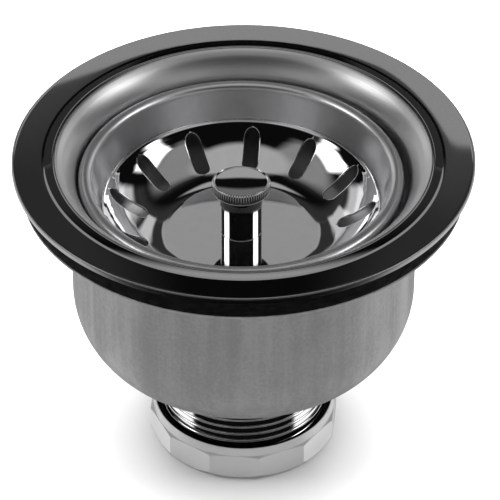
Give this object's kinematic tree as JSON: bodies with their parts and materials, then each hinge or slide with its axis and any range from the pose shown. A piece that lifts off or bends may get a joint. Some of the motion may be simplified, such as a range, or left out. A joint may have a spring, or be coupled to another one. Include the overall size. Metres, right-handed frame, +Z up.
{
  "type": "sink strainer",
  "caption": "Double cup kitchen sink strainer: polished flange, lift-out slotted basket with rubber stopper, rubber gasket, outer locking cup, threaded tail and lock nut.",
  "frame": {"origin": "centre of the ring at the lower end of the threaded tail, on the part's axis", "axes": "+Z up along the axis through tail, bowl and flange; -Y towards the camera of the picture; +X to its right"},
  "size_m": [0.1142, 0.1142, 0.0858],
  "materials": {
    "body_steel": "stainless steel, flange polished, mouth satin",
    "cup_steel": "satin stainless steel",
    "basket_steel": "bright polished stainless steel",
    "plated_post": "mirror bright plating",
    "plated_tail": "bright plating",
    "plated_nut": "bright plating",
    "stem_steel": "bare steel",
    "stem_brass": "bare brass",
    "gasket_rubber": "matte black rubber",
    "stopper_rubber": "matte black rubber",
    "ring_fibre": "dark pressed fibre",
    "seal_fibre": "dark sealing rubber",
    "washer_plastic": "black plastic",
    "bush_plastic": "white plastic"
  },
  "bodies": {
    "strainer": {"strainer_body": "body_steel", "threaded_spud": "plated_tail", "spud_seal": "seal_fibre", "crossbar": "plated_tail"},
    "cup": {"outer_cup": "cup_steel", "friction_ring": "ring_fibre", "sink_gasket": "gasket_rubber"},
    "basket": {"basket_shell": "basket_steel", "post_sleeve": "plated_post", "knob": "plated_post", "stem_rod": "stem_steel", "backing_washer": "stem_steel", "stopper": "stopper_rubber", "stopper_washer": "stem_steel", "lock_washer": "stem_steel", "stem_nut": "stem_brass", "stem_bush": "bush_plastic"},
    "nut_washer": {"nut_washer": "washer_plastic"},
    "lock_nut": {"lock_nut": "plated_nut"}
  },
  "joints": [
    {"name": "basket_lift", "type": "slide", "parent": "strainer", "child": "basket", "axis": [0, 0, 1], "range_m": [0, 0.056]},
    {"name": "cup_slide", "type": "slide", "parent": "strainer", "child": "cup", "axis": [0, 0, 1], "range_m": [-0.0152, 0]},
    {"name": "nut_travel", "type": "slide", "parent": "strainer", "child": "nut_washer", "axis": [0, 0, 1], "range_m": [0, 0.0152]},
    {"name": "nut_spin", "type": "hinge", "parent": "nut_washer", "child": "lock_nut", "pos_m": [0, 0, 0], "axis": [0, 0, 1], "range_deg": [0, 2470]}
  ],
  "couplings": [
    {"joint": "nut_travel", "follows": "nut_spin", "m_per_rad": 0.00035157}
  ]
}
